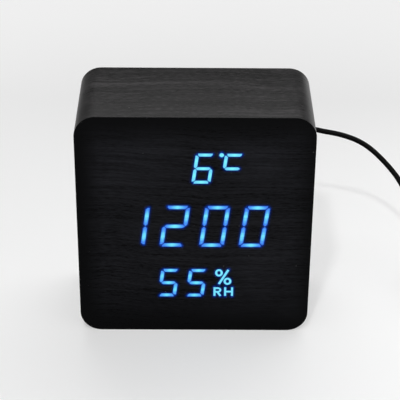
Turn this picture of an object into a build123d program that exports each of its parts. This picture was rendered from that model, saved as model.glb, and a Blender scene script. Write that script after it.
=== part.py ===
"""A square digital clock: a film-covered wooden case, a lit readout behind its front film, and its cord.

Millimetres. X runs to the right, Z up, and the readout faces -Y. The origin is on the table, under the
middle of the case.
"""
import os
from math import cos, pi, radians, sin, sqrt, tan

from build123d import *

# Case: a wooden block, hollowed from behind and wrapped in a printed film
case_width = 98.0
case_height = 104.0
case_depth = 46.0
case_corner = 9.1
film_thickness = 0.4
film_edge_radius = 0.15
front_wall = 8.0
rear_rim = 5.0
panel_ledge = 3.0
panel_recess = 1.5
seat_corner = 6.0
pocket_corner = 12.0

# Clearances
set_in_gap = 0.3
running_gap = 0.1
screw_gap = 0.05
overrun = 1.0

# Readout: four time digits, with the temperature above and the humidity below
readout_rise = 0.5
time_rise = 0.3
row_margin = 3.425
digit_slant = 7.4
time_digit_height = 20.2
time_digit_width = 10.6
time_side_margin = 4.71
time_stroke = 1.8
colon_spacing = 8.6
small_digit_height = 14.25
small_digit_width = 8.0
small_digit_pitch = 11.9
small_stroke = 1.5
cell_joint = 0.25
cell_corner_share = 0.54
time_digit_count = 4
degree_dot = 2.0
dot_sides = 8
degree_dot_shift = 4.6
unit_digit_x = 15.2
humidity_first_x = -11.0
sign_window_x = 12.4
sign_window_width = 9.4
percent_window_height = 8.6
letter_window_height = 5.6

# Light frame, diffuser and the board with its light-emitting diodes
window_side_ledge = 5.7
window_end_ledge = 5.2
frame_corner = 3.0
frame_flange = 1.6
frame_floor = 1.0
diffuser_thickness = 0.3
led_side = 1.0
led_height = 0.6
board_thickness = 1.6
board_screw_spacing = 52.0
board_screw_shank = 2.0
board_screw_head = 4.2
board_screw_head_height = 1.4
board_screw_length = 8.0
chip_end_margin = 0.7
chip_width = 7.5
chip_height = 2.3
chip_stand_off = 0.2
chip_pin_pitch = 1.27
chip_pin_width = 0.42
chip_pin_reach = 1.4
chip_pins_per_side = 14
chip_drop = 8.0
crystal_diameter = 2.0
crystal_length = 6.0
crystal_shift = 16.0

# Rear panel
panel_thickness = 2.4
panel_screw_inset = 4.6
panel_screw_shank = 2.4
panel_screw_head = 5.0
panel_screw_head_height = 1.3
panel_screw_length = 9.0
screw_slot_width = 0.8
screw_slot_depth = 0.6
vent_width = 1.2
vent_length = 10.0
vent_pitch = 2.6
vent_count = 5
sound_hole = 1.5
sound_ring = 6.0
sound_hole_count = 6

# Battery bay, its three cells and its door
cell_count = 3
cell_diameter = 10.5
cell_length = 44.5
cell_nub_diameter = 3.8
cell_nub_height = 0.8
cell_edge_chamfer = 0.4
cell_side_gap = 0.6
cell_door_gap = 0.4
cell_floor_gap = 0.2
bay_side_gap = 6.0
bay_rise = 6.0
tub_wall = 1.2
bay_rib_width = 0.9
bay_rib_height = 2.5
spring_room = 2.8
plate_room = 0.6
contact_sheet = 0.3
contact_inset = 0.75
leaf_width = 5.0
contact_gap = 0.15
hinge_pin_diameter = 1.2
hinge_pin_length = 2.0
latch_tab_width = 12.0
latch_tab_height = 2.6
grip_rib_width = 0.8
grip_rib_height = 0.35
grip_rib_length = 14.0
grip_rib_pitch = 1.7
grip_rib_count = 4
grip_rib_drop = 5.5

# Key board behind the panel, with switches, power jack, sounder and humidity sensor
key_board_side_gap = 4.7
key_board_top_gap = 4.0
key_board_tub_gap = 3.0
key_board_corner = 3.0
switch_side = 6.0
switch_height = 3.5
plunger_diameter = 3.4
plunger_length = 3.7
switch_tip_height = 6.5
button_drop = 8.0
button_pitch = 16.0
button_diameter = 6.8
button_flange = 9.0
button_flange_height = 1.0
button_proud = 0.8
button_edge_radius = 0.4
button_travel = 0.5
boss_diameter = 5.0
upper_boss_inset = 5.0
upper_boss_drop = 4.5
lower_boss_x = 8.5
lower_boss_rise = 4.5
key_screw_shank = 1.8
key_screw_head = 3.6
key_screw_head_height = 1.2
key_screw_length = 6.5
sounder_side_inset = 9.0
sounder_rise = 9.0
sounder_diameter = 12.0
sounder_height = 6.0
sounder_mouth = 2.0
sounder_mouth_depth = 1.5
sensor_rise = 7.0
sensor_width = 10.0
sensor_tall = 7.0
sensor_base = 1.0
sensor_cap_height = 2.2
sensor_cap_margin = 1.0
sensor_hole = 1.2
ribbon_width = 12.0
ribbon_thickness = 0.8
ribbon_bend_share = 0.45
ribbon_rise = 7.0
socket_margin = 1.5
socket_tall = 5.0
socket_height = 4.0

# Power jack and the lead's plug
jack_side_inset = 8.0
jack_rise = 7.5
jack_side = 9.0
jack_neck_diameter = 7.0
jack_neck_sink = 0.4
jack_floor = 0.6
jack_pin_diameter = 1.2
jack_pin_sink = 1.0
barrel_diameter = 3.5
barrel_pin_gap = 0.15
barrel_end_gap = 0.6
barrel_gap = 0.1
plug_nose_diameter = 7.0
plug_nose_length = 2.0
plug_grip_diameter = 8.6
plug_grip_length = 10.5
plug_shoulder = 1.5
relief_diameter = 4.8
relief_end_diameter = 3.4
relief_length = 8.0
relief_groove_depth = 0.5
relief_groove_count = 3

# Cord, its coil and the tie round the coil
cord_diameter = 2.5
cord_sides = 8
lead_straight = 9.2
turn_run_share = 0.45
cord_fall = [
    (33.5, 62.0, 57.8),
    (44.0, 66.4, 55.8),
    (57.4, 65.4, 52.5),
    (69.4, 62.8, 51.8),
    (79.8, 58.6, 49.5),
    (88.8, 51.0, 43.5),
    (95.6, 41.2, 38.1),
    (100.0, 31.2, 29.4),
    (102.4, 22.0, 17.4),
]
coil_west_x = 103.0
coil_y = 2.0
coil_layers = 4
coil_inner_radius = 9.2
coil_turn_gap = 0.15
quarters_per_layer = 10
quarters_of_last_layer = 12
points_per_quarter = 16
next_turn_quarters = 3
tie_thickness = 0.5
tie_width = 4.0
tie_corner = 1.5
tie_gap = 0.3
tail_run = 7.0

# Plug at the far end of the cord
usb_body_width = 15.6
usb_body_thickness = 8.0
usb_body_length = 22.0
usb_body_corner = 2.4
usb_edge_radius = 0.8
usb_relief_diameter = 5.4
usb_relief_end_diameter = 3.6
usb_relief_length = 8.0
usb_shell_width = 12.0
usb_shell_thickness = 4.5
usb_shell_length = 12.0
usb_shell_wall = 0.35
usb_shell_corner = 0.7
usb_shell_window = 2.0
usb_shell_window_spacing = 5.0
usb_shell_window_inset = 6.0
usb_tongue_thickness = 1.8
usb_tongue_sink = 0.8
usb_contact_width = 1.0
usb_contact_pitch = 2.2
usb_contact_count = 4
usb_contact_thickness = 0.2
usb_contact_length = 7.5

# Depths, from the front to the back
case_front = -case_depth / 2
case_back = case_depth / 2
body_front = case_front + film_thickness
body_back = case_back - film_thickness
wall_back = body_front + front_wall
diffuser_back = body_front + diffuser_thickness
flange_back = wall_back + frame_flange
cell_floor = flange_back - frame_floor
board_back = flange_back + board_thickness
panel_back = case_back - panel_recess
panel_front = panel_back - panel_thickness
bay_floor = panel_front - cell_door_gap - cell_diameter - cell_floor_gap
tub_front = bay_floor - tub_wall
cell_axis_y = panel_front - cell_door_gap - cell_diameter / 2
button_flange_front = panel_front - button_flange_height
key_board_back = button_flange_front - switch_tip_height
key_board_front = key_board_back - board_thickness
jack_face = panel_back - jack_neck_sink
plug_face = panel_back + set_in_gap

# Widths and heights that pieces share
case_middle = case_height / 2
body_width = case_width - 2 * film_thickness
body_height = case_height - 2 * film_thickness
body_corner = case_corner - film_thickness
seat_width = case_width - 2 * rear_rim
seat_height = case_height - 2 * rear_rim
pocket_width = seat_width - 2 * panel_ledge
pocket_height = seat_height - 2 * panel_ledge
pocket_bottom = rear_rim + panel_ledge
pocket_top = case_height - rear_rim - panel_ledge
window_width = pocket_width - 2 * window_side_ledge
window_height = pocket_height - 2 * window_end_ledge
frame_width = window_width - 2 * set_in_gap
frame_height = window_height - 2 * set_in_gap
row_spacing = (frame_height - small_digit_height) / 2 - row_margin
time_digit_pitch = (frame_width - time_digit_width - 2 * time_side_margin) / (time_digit_count - 1)
readout_z = case_middle + readout_rise
time_z = readout_z + time_rise
temperature_z = readout_z + row_spacing
humidity_z = readout_z - row_spacing
inner_width = pocket_width - 2 * set_in_gap
inner_height = pocket_height - 2 * set_in_gap
inner_corner = pocket_corner - set_in_gap
board_screw_x = (window_width + pocket_width) / 4
board_screw_places = [
    (side * board_screw_x, readout_z + level * board_screw_spacing / 2)
    for side in (-1, 1) for level in (-1, 1)]
panel_screw_x = seat_width / 2 - panel_screw_inset
panel_screw_rise = seat_height / 2 - panel_screw_inset
panel_screw_places = [
    (side * panel_screw_x, case_middle + level * panel_screw_rise)
    for side in (-1, 1) for level in (-1, 1)]
cell_pitch = cell_diameter + cell_side_gap
contact_side = cell_diameter - 2 * contact_inset
bay_length = cell_length + spring_room + plate_room
bay_height = cell_count * cell_pitch
bay_left = bay_side_gap - pocket_width / 2
bay_right = bay_left + bay_length
bay_x = (bay_left + bay_right) / 2
bay_bottom = pocket_bottom + bay_rise
bay_z = bay_bottom + bay_height / 2
key_board_width = inner_width - 2 * key_board_side_gap
key_board_bottom = bay_bottom + bay_height + tub_wall + key_board_tub_gap
key_board_top = pocket_top - key_board_top_gap
key_board_z = (key_board_bottom + key_board_top) / 2
button_z = key_board_top - button_drop
upper_boss_x = key_board_width / 2 - upper_boss_inset
upper_boss_z = key_board_top - upper_boss_drop
lower_boss_z = key_board_bottom + lower_boss_rise
boss_places = [
    (side * x, z)
    for side in (-1, 1)
    for x, z in ((upper_boss_x, upper_boss_z), (lower_boss_x, lower_boss_z))]
sounder_x = sounder_side_inset - key_board_width / 2
sounder_z = key_board_bottom + sounder_rise
sensor_z = key_board_bottom + sensor_rise
jack_x = key_board_width / 2 - jack_side_inset
jack_z = key_board_bottom + jack_rise
hinge_radius = panel_thickness / 2
hinge_y = panel_back - hinge_radius
hinge_z = bay_bottom + set_in_gap + hinge_radius
door_length = bay_length - 2 * set_in_gap
door_top = bay_bottom + bay_height - set_in_gap
button_places = {
    "down_button": -button_pitch,
    "set_button": 0,
    "up_button": button_pitch,
}

os.makedirs("parts", exist_ok=True)


def upright(depth):
    """A plane that faces the front at one depth, with X to the right and Z up."""
    return Plane(origin=(0, depth, 0), x_dir=(1, 0, 0), z_dir=(0, -1, 0))


def flat(x, z):
    """A level plane at one height, with its origin at one X."""
    return Plane(origin=(x, 0, z), x_dir=(1, 0, 0), z_dir=(0, 0, 1))


def save(piece, name):
    """Label a finished piece and write it."""
    piece.part.label = name
    export_step(piece.part, f"parts/{name}.step")


# Case
with BuildPart() as case_body:
    with BuildSketch(upright(body_back)):
        with Locations((0, case_middle)):
            RectangleRounded(body_width, body_height, body_corner)
    extrude(amount=body_back - body_front)
    with BuildSketch(upright(body_back)):
        with Locations((0, case_middle)):
            RectangleRounded(seat_width, seat_height, seat_corner)
    extrude(amount=body_back - panel_front, mode=Mode.SUBTRACT)
    with BuildSketch(upright(panel_front)):
        with Locations((0, case_middle)):
            RectangleRounded(pocket_width, pocket_height, pocket_corner)
    extrude(amount=panel_front - wall_back, mode=Mode.SUBTRACT)
    with BuildSketch(upright(wall_back)):
        with Locations((0, readout_z)):
            RectangleRounded(window_width, window_height, frame_corner)
    extrude(amount=front_wall + overrun, mode=Mode.SUBTRACT)
    with BuildSketch(upright(wall_back)):
        with Locations(*board_screw_places):
            Circle(board_screw_shank / 2 + screw_gap)
    extrude(amount=board_screw_length - board_thickness - frame_flange + set_in_gap, mode=Mode.SUBTRACT)
    with BuildSketch(upright(panel_front)):
        with Locations(*panel_screw_places):
            Circle(panel_screw_shank / 2 + screw_gap)
    panel_screw_depth = panel_screw_length - panel_thickness + panel_screw_head_height
    extrude(amount=panel_screw_depth + set_in_gap, mode=Mode.SUBTRACT)
save(case_body, "case_body")

with BuildPart() as wrap_film:
    with BuildSketch(upright(body_back)):
        with Locations((0, case_middle)):
            RectangleRounded(case_width, case_height, case_corner)
            RectangleRounded(body_width, body_height, body_corner, mode=Mode.SUBTRACT)
    extrude(amount=body_back - body_front)
save(wrap_film, "wrap_film")

with BuildPart() as front_film:
    with BuildSketch(upright(body_front)):
        with Locations((0, case_middle)):
            RectangleRounded(case_width, case_height, case_corner)
    extrude(amount=film_thickness)
    fillet(front_film.faces().sort_by(Axis.Y)[0].edges(), film_edge_radius)
save(front_film, "front_film")

with BuildPart() as rear_film:
    with BuildSketch(upright(case_back)):
        with Locations((0, case_middle)):
            RectangleRounded(case_width, case_height, case_corner)
            RectangleRounded(seat_width, seat_height, seat_corner, mode=Mode.SUBTRACT)
    extrude(amount=film_thickness)
    fillet(rear_film.faces().sort_by(Axis.Y)[-1].outer_wire().edges(), film_edge_radius)
save(rear_film, "rear_film")


# Readout cells: a digit is seven bars with mitred corners that lean to the right
def lean(x, z, row):
    """A point of a row's upright drawing, moved sideways by the digits' slant."""
    return (x + (z - row) * tan(radians(digit_slant)), z)


def digit(x, row, width, height, stroke, wanted="abcdefg"):
    """The middle and the corners of a digit's bars, by the letters that seven-bar digits use."""
    far = width / 2
    near = far - stroke
    top = height / 2
    under = top - stroke
    half = stroke / 2
    cut = cell_corner_share * stroke
    tip = far - cell_joint - cut
    top_bar = [
        (tip, top), (-tip, top), (-tip, top - cut),
        (cell_joint - near, under), (near - cell_joint, under), (tip, top - cut)]
    side_bar = [
        (far, half + cell_joint), (far, top - cell_joint - cut), (far - cut, top - cell_joint - cut),
        (near, under - cell_joint), (near, half + cell_joint), (far - half, cell_joint)]
    middle_bar = [
        (far - half - cell_joint, 0), (near - cell_joint, half), (cell_joint - near, half),
        (cell_joint + half - far, 0), (cell_joint - near, -half), (near - cell_joint, -half)]
    bars = {
        "a": ((0, top - half), top_bar),
        "b": ((far - half, top / 2), side_bar),
        "c": ((far - half, -top / 2), [(u, -v) for u, v in reversed(side_bar)]),
        "d": ((0, half - top), [(u, -v) for u, v in reversed(top_bar)]),
        "e": ((half - far, -top / 2), [(-u, -v) for u, v in side_bar]),
        "f": ((half - far, top / 2), [(-u, v) for u, v in reversed(side_bar)]),
        "g": ((0, 0), middle_bar),
    }
    return [
        [lean(x + u, row + v, row), [lean(x + p, row + q, row) for p, q in corners]]
        for (u, v), corners in (bars[letter] for letter in wanted)]


time_digits_x = [
    (place - (time_digit_count - 1) / 2) * time_digit_pitch for place in range(time_digit_count)]
small_size = (small_digit_width, small_digit_height, small_stroke)
bar_cells = []
for place in time_digits_x:
    bar_cells += digit(place, time_z, time_digit_width, time_digit_height, time_stroke)
for step in (2, 1):
    bar_cells += digit(unit_digit_x - step * small_digit_pitch, temperature_z, *small_size)
bar_cells += digit(unit_digit_x, temperature_z, *small_size, wanted="aefg")
bar_cells += digit(unit_digit_x - 3 * small_digit_pitch, temperature_z, *small_size, wanted="g")
for step in (0, 1):
    bar_cells += digit(humidity_first_x + step * small_digit_pitch, humidity_z, *small_size)
dot_rise = (small_digit_height - degree_dot) / 2
dot_cells = [lean(0, time_z + level * colon_spacing / 2, time_z) for level in (-1, 1)]
dot_cells.append((unit_digit_x - degree_dot_shift, temperature_z + dot_rise))
percent_z = humidity_z + (small_digit_height - percent_window_height) / 2
letter_z = humidity_z - (small_digit_height - letter_window_height) / 2
led_places = [middle for middle, outline in bar_cells] + dot_cells
led_places += [(sign_window_x, percent_z), (sign_window_x, letter_z)]
led_hole = led_side + set_in_gap

with BuildPart() as light_frame:
    with BuildSketch(upright(flange_back)):
        with Locations((0, case_middle)):
            RectangleRounded(inner_width, inner_height, inner_corner)
        with Locations(*board_screw_places):
            Circle(board_screw_shank / 2 + screw_gap, mode=Mode.SUBTRACT)
    extrude(amount=frame_flange)
    with BuildSketch(upright(wall_back)):
        with Locations((0, readout_z)):
            RectangleRounded(frame_width, frame_height, frame_corner - set_in_gap)
    extrude(amount=wall_back - diffuser_back)
    with BuildSketch(upright(cell_floor)):
        for middle, outline in bar_cells:
            Polygon(*outline, align=None)
        with Locations(*dot_cells):
            RegularPolygon(degree_dot / 2, dot_sides, rotation=180 / dot_sides)
        with Locations((sign_window_x, percent_z)):
            Rectangle(sign_window_width, percent_window_height)
        with Locations((sign_window_x, letter_z)):
            Rectangle(sign_window_width, letter_window_height)
    extrude(amount=cell_floor - diffuser_back + overrun, mode=Mode.SUBTRACT)
    with BuildSketch(upright(flange_back)):
        with Locations(*led_places):
            Rectangle(led_hole, led_hole)
    extrude(amount=frame_floor + overrun, mode=Mode.SUBTRACT)
save(light_frame, "light_frame")

with BuildPart() as diffuser:
    with BuildSketch(upright(diffuser_back)):
        with Locations((0, readout_z)):
            RectangleRounded(frame_width, frame_height, frame_corner - set_in_gap)
    extrude(amount=diffuser_thickness)
save(diffuser, "diffuser")

with BuildPart() as segment_leds:
    with BuildSketch(upright(flange_back)):
        with Locations(*led_places):
            Rectangle(led_side, led_side)
    extrude(amount=led_height)
save(segment_leds, "segment_leds")

# Main board and what is soldered to it
with BuildPart() as main_board:
    with BuildSketch(upright(board_back)):
        with Locations((0, case_middle)):
            RectangleRounded(inner_width, inner_height, inner_corner)
        with Locations(*board_screw_places):
            Circle(board_screw_shank / 2 + screw_gap, mode=Mode.SUBTRACT)
    extrude(amount=board_thickness)
save(main_board, "main_board")

chip_z = case_middle - chip_drop
chip_length = (chip_pins_per_side - 1) * chip_pin_pitch + 2 * chip_end_margin
with BuildPart() as control_chip:
    with BuildSketch(upright(board_back + chip_stand_off + chip_height)):
        with Locations((0, chip_z)):
            Rectangle(chip_length, chip_width)
    extrude(amount=chip_height)
    pin_span = chip_width + 2 * chip_pin_reach
    with BuildSketch(upright(board_back + chip_stand_off)):
        with Locations((0, chip_z)):
            with GridLocations(chip_pin_pitch, 0, chip_pins_per_side, 1):
                Rectangle(chip_pin_width, pin_span)
    extrude(amount=chip_stand_off)
save(control_chip, "control_chip")

with BuildPart() as clock_crystal:
    crystal_axis_y = board_back + crystal_diameter / 2
    crystal_start = Vector(crystal_shift, crystal_axis_y, chip_z - crystal_length / 2)
    with BuildSketch(Plane(origin=crystal_start, z_dir=(0, 0, 1))):
        Circle(crystal_diameter / 2)
    extrude(amount=crystal_length)
save(clock_crystal, "clock_crystal")


def screws(places, under_head, shank, head, head_height, length, into_back=False):
    """A set of slotted screws along Y, pointing to the front or the back, with a depth under the heads."""
    way = -1 if into_back else 1
    with BuildPart() as screw_set:
        with BuildSketch(upright(under_head)):
            with Locations(*places):
                Circle(shank / 2)
        extrude(amount=way * length)
        with BuildSketch(upright(under_head)):
            with Locations(*places):
                Circle(head / 2)
        extrude(amount=-way * head_height)
        with BuildSketch(upright(under_head + way * head_height)):
            with Locations(*places):
                Rectangle(head + overrun, screw_slot_width)
        extrude(amount=way * screw_slot_depth, mode=Mode.SUBTRACT)
    return screw_set


board_screws = screws(
    board_screw_places, board_back, board_screw_shank, board_screw_head, board_screw_head_height,
    board_screw_length)
save(board_screws, "board_screws")

# Rear panel with its battery tub, bosses and holes
panel_screw_seat = panel_back - panel_screw_head_height
jack_hole = jack_neck_diameter + 2 * set_in_gap
button_hole = button_diameter + 2 * running_gap
with BuildPart() as rear_panel:
    with BuildSketch(upright(panel_back)):
        with Locations((0, case_middle)):
            RectangleRounded(
                seat_width - 2 * set_in_gap, seat_height - 2 * set_in_gap, seat_corner - set_in_gap)
    extrude(amount=panel_thickness)
    with BuildSketch(upright(panel_front)):
        with Locations((bay_x, bay_z)):
            Rectangle(bay_length + 2 * tub_wall, bay_height + 2 * tub_wall)
        with Locations(*boss_places):
            Circle(boss_diameter / 2)
    extrude(amount=panel_front - key_board_back)
    with BuildSketch(upright(key_board_back)):
        with Locations((bay_x, bay_z)):
            Rectangle(bay_length + 2 * tub_wall, bay_height + 2 * tub_wall)
    extrude(amount=key_board_back - tub_front)
    with BuildSketch(upright(panel_back)):
        with Locations((bay_x, bay_z)):
            Rectangle(bay_length, bay_height)
    extrude(amount=panel_back - bay_floor, mode=Mode.SUBTRACT)
    with BuildSketch(upright(bay_floor + bay_rib_height)):
        with Locations((bay_x, bay_z)):
            with GridLocations(0, cell_pitch, 1, cell_count - 1):
                Rectangle(cell_length - 2 * contact_side, bay_rib_width)
    extrude(amount=bay_rib_height)
    with BuildSketch(upright(panel_back)):
        with Locations((bay_x, bay_bottom + bay_height)):
            Rectangle(latch_tab_width + 2 * set_in_gap, 2 * (latch_tab_height + set_in_gap))
        with Locations((jack_x, jack_z)):
            Circle(jack_hole / 2)
        with Locations(*[(x, button_z) for x in button_places.values()]):
            Circle(button_hole / 2)
        with Locations((0, sensor_z)):
            with GridLocations(vent_pitch, 0, vent_count, 1):
                SlotOverall(vent_length, vent_width, rotation=90)
        with Locations((sounder_x, sounder_z)):
            Circle(sound_hole / 2)
            with PolarLocations(sound_ring / 2, sound_hole_count):
                Circle(sound_hole / 2)
        with Locations(*panel_screw_places):
            Circle(panel_screw_shank / 2 + running_gap)
    extrude(amount=panel_thickness, mode=Mode.SUBTRACT)
    with BuildSketch(upright(panel_back)):
        with Locations(*panel_screw_places):
            Circle(panel_screw_head / 2 + running_gap)
    extrude(amount=panel_screw_head_height, mode=Mode.SUBTRACT)
    with BuildSketch(upright(key_board_back)):
        with Locations(*boss_places):
            Circle(key_screw_shank / 2 + screw_gap)
    extrude(amount=-(key_screw_length - board_thickness + set_in_gap), mode=Mode.SUBTRACT)
    hinge_bore_length = bay_length + 2 * (hinge_pin_length + set_in_gap)
    hinge_bore_start = Vector(bay_x - hinge_bore_length / 2, hinge_y, hinge_z)
    with BuildSketch(Plane(origin=hinge_bore_start, z_dir=(1, 0, 0))):
        Circle(hinge_pin_diameter / 2 + running_gap)
    extrude(amount=hinge_bore_length, mode=Mode.SUBTRACT)
save(rear_panel, "rear_panel")

panel_screws = screws(
    panel_screw_places, panel_screw_seat, panel_screw_shank, panel_screw_head, panel_screw_head_height,
    panel_screw_length)
save(panel_screws, "panel_screws")

# Battery door: it turns on two pins in line with its rounded lower edge
with BuildPart() as battery_door:
    with BuildSketch(upright(panel_back)):
        with Locations((bay_x, (hinge_z + door_top) / 2)):
            Rectangle(door_length, door_top - hinge_z)
        with Locations((bay_x, door_top + latch_tab_height / 2)):
            Rectangle(latch_tab_width, latch_tab_height)
    extrude(amount=panel_thickness)
    door_start = Vector(bay_x - door_length / 2, hinge_y, hinge_z)
    with BuildSketch(Plane(origin=door_start, z_dir=(1, 0, 0))):
        Circle(hinge_radius)
    extrude(amount=door_length)
    pin_start = Vector(bay_x - bay_length / 2 - hinge_pin_length, hinge_y, hinge_z)
    with BuildSketch(Plane(origin=pin_start, z_dir=(1, 0, 0))):
        Circle(hinge_pin_diameter / 2)
    extrude(amount=bay_length + 2 * hinge_pin_length)
    with BuildSketch(upright(panel_back + grip_rib_height)):
        with Locations((bay_x, door_top - grip_rib_drop)):
            with GridLocations(0, grip_rib_pitch, 1, grip_rib_count):
                SlotOverall(grip_rib_length, grip_rib_width)
    extrude(amount=grip_rib_height)
save(battery_door, "battery_door")

# Cells lie along X, and every second one is turned round
cell_names = ["lower_cell", "middle_cell", "upper_cell"]
for index, name in enumerate(cell_names):
    way = 1 if index % 2 == 0 else -1
    cell_z = bay_bottom + (index + 1 / 2) * cell_pitch
    flat_end_x = bay_left + spring_room if way > 0 else bay_right - spring_room
    with BuildPart() as battery_cell:
        with BuildSketch(Plane(origin=(flat_end_x, cell_axis_y, cell_z), z_dir=(way, 0, 0))):
            Circle(cell_diameter / 2)
        extrude(amount=cell_length - cell_nub_height)
        chamfer(battery_cell.edges().filter_by(GeomType.CIRCLE), cell_edge_chamfer)
        shoulder_x = flat_end_x + way * (cell_length - cell_nub_height)
        with BuildSketch(Plane(origin=(shoulder_x, cell_axis_y, cell_z), z_dir=(way, 0, 0))):
            Circle(cell_nub_diameter / 2)
        extrude(amount=cell_nub_height)
    save(battery_cell, name)

# Contacts stand against the ends of the bay: a bowed leaf at each flat end, a plate at each nub
with BuildPart() as leaf_contacts:
    for index in range(cell_count):
        way = 1 if index % 2 == 0 else -1
        wall_x = bay_left if way > 0 else bay_right
        cell_z = bay_bottom + (index + 1 / 2) * cell_pitch
        with BuildSketch(Plane(origin=(wall_x, cell_axis_y, cell_z), x_dir=(0, 1, 0), z_dir=(way, 0, 0))):
            Rectangle(contact_side, contact_side)
        extrude(amount=contact_sheet)
        bow = spring_room - contact_gap
        half_span = contact_side / 2 - contact_sheet
        inner_span = half_span - contact_sheet
        with BuildSketch(Plane(origin=(wall_x, cell_axis_y, cell_z - leaf_width / 2), z_dir=(0, 0, 1))):
            with BuildLine():
                ThreePointArc((0, -half_span), (way * bow, 0), (0, half_span))
                Line((0, half_span), (0, inner_span))
                ThreePointArc((0, inner_span), (way * (bow - contact_sheet), 0), (0, -inner_span))
                Line((0, -inner_span), (0, -half_span))
            make_face()
        extrude(amount=leaf_width)
save(leaf_contacts, "leaf_contacts")

with BuildPart() as plate_contacts:
    for index in range(cell_count):
        way = 1 if index % 2 == 0 else -1
        wall_x = bay_right if way > 0 else bay_left
        cell_z = bay_bottom + (index + 1 / 2) * cell_pitch
        with BuildSketch(Plane(origin=(wall_x, cell_axis_y, cell_z), x_dir=(0, 1, 0), z_dir=(-way, 0, 0))):
            RectangleRounded(contact_side, contact_side, contact_sheet)
        extrude(amount=contact_sheet)
save(plate_contacts, "plate_contacts")

# Key board and what it carries
with BuildPart() as key_board:
    with BuildSketch(upright(key_board_back)):
        with Locations((0, key_board_z)):
            RectangleRounded(key_board_width, key_board_top - key_board_bottom, key_board_corner)
        with Locations(*boss_places):
            Circle(key_screw_shank / 2 + screw_gap, mode=Mode.SUBTRACT)
    extrude(amount=board_thickness)
save(key_board, "key_board")

key_screws = screws(
    boss_places, key_board_front, key_screw_shank, key_screw_head, key_screw_head_height, key_screw_length,
    into_back=True)
save(key_screws, "key_screws")

switch_top = key_board_back + switch_height
plunger_start = key_board_back + switch_tip_height - plunger_length
with BuildPart() as key_switches:
    with BuildSketch(upright(switch_top)):
        with Locations(*[(x, button_z) for x in button_places.values()]):
            Rectangle(switch_side, switch_side)
    extrude(amount=switch_height)
    with BuildSketch(upright(switch_top)):
        with Locations(*[(x, button_z) for x in button_places.values()]):
            Circle(plunger_diameter / 2 + running_gap)
    extrude(amount=switch_top - plunger_start + button_travel + running_gap, mode=Mode.SUBTRACT)
save(key_switches, "key_switches")

for name, x in button_places.items():
    with BuildPart() as button:
        with BuildSketch(upright(panel_front)):
            with Locations((x, button_z)):
                Circle(button_flange / 2)
        extrude(amount=button_flange_height)
        with BuildSketch(upright(panel_back + button_proud)):
            with Locations((x, button_z)):
                Circle(button_diameter / 2)
        extrude(amount=panel_thickness + button_proud)
        fillet(button.faces().sort_by(Axis.Y)[-1].edges(), button_edge_radius)
    save(button, name)
    with BuildPart() as plunger:
        with BuildSketch(upright(button_flange_front)):
            with Locations((x, button_z)):
                Circle(plunger_diameter / 2)
        extrude(amount=plunger_length)
    save(plunger, name.replace("button", "plunger"))

with BuildPart() as sounder:
    sounder_face = key_board_back + sounder_height
    with BuildSketch(upright(sounder_face)):
        with Locations((sounder_x, sounder_z)):
            Circle(sounder_diameter / 2)
    extrude(amount=sounder_height)
    with BuildSketch(upright(sounder_face)):
        with Locations((sounder_x, sounder_z)):
            Circle(sounder_mouth / 2)
    extrude(amount=sounder_mouth_depth, mode=Mode.SUBTRACT)
save(sounder, "sounder")

with BuildPart() as humidity_sensor:
    with BuildSketch(upright(key_board_back + sensor_base)):
        with Locations((0, sensor_z)):
            Rectangle(sensor_width, sensor_tall)
    extrude(amount=sensor_base)
    with BuildSketch(upright(key_board_back + sensor_base + sensor_cap_height)):
        with Locations((0, sensor_z)):
            Rectangle(sensor_width - 2 * sensor_cap_margin, sensor_tall - 2 * sensor_cap_margin)
            with GridLocations(2 * sensor_hole, 2 * sensor_hole, 3, 2):
                Rectangle(sensor_hole, sensor_hole, mode=Mode.SUBTRACT)
    extrude(amount=sensor_cap_height)
save(humidity_sensor, "humidity_sensor")

# Ribbon cable between the two boards, with a socket on each
socket_width = ribbon_width + 2 * socket_margin
main_socket_z = key_board_z - ribbon_rise
key_socket_z = key_board_z + ribbon_rise
with BuildPart() as ribbon_sockets:
    with BuildSketch(upright(board_back + socket_height)):
        with Locations((0, main_socket_z)):
            Rectangle(socket_width, socket_tall)
    extrude(amount=socket_height)
    with BuildSketch(upright(key_board_front)):
        with Locations((0, key_socket_z)):
            Rectangle(socket_width, socket_tall)
    extrude(amount=socket_height)
save(ribbon_sockets, "ribbon_sockets")

ribbon_start = board_back + socket_height
ribbon_end = key_board_front - socket_height
ribbon_middle = (ribbon_start + ribbon_end) / 2
ribbon_bend = ribbon_bend_share * (ribbon_middle - ribbon_start)
with BuildPart() as ribbon_cable:
    with BuildSketch(Plane(origin=(-ribbon_width / 2, 0, 0), x_dir=(0, 1, 0), z_dir=(1, 0, 0))):
        with BuildLine():
            FilletPolyline(
                (ribbon_start, main_socket_z), (ribbon_middle, main_socket_z),
                (ribbon_middle, key_socket_z), (ribbon_end, key_socket_z), radius=ribbon_bend)
        trace(line_width=ribbon_thickness)
    extrude(amount=ribbon_width)
save(ribbon_cable, "ribbon_cable")

# Power jack, and the plug that is pushed into it
jack_bore_end = key_board_back + jack_floor
with BuildPart() as power_jack:
    with BuildSketch(upright(panel_front - set_in_gap)):
        with Locations((jack_x, jack_z)):
            Rectangle(jack_side, jack_side)
    extrude(amount=panel_front - set_in_gap - key_board_back)
    with BuildSketch(upright(jack_face)):
        with Locations((jack_x, jack_z)):
            Circle(jack_neck_diameter / 2)
    extrude(amount=jack_face - panel_front + set_in_gap)
    with BuildSketch(upright(jack_face)):
        with Locations((jack_x, jack_z)):
            Circle(barrel_diameter / 2 + barrel_gap)
    extrude(amount=jack_face - jack_bore_end, mode=Mode.SUBTRACT)
save(power_jack, "power_jack")

with BuildPart() as jack_pin:
    with BuildSketch(upright(jack_face - jack_pin_sink)):
        with Locations((jack_x, jack_z)):
            Circle(jack_pin_diameter / 2)
    extrude(amount=jack_face - jack_pin_sink - jack_bore_end)
save(jack_pin, "jack_pin")

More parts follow.
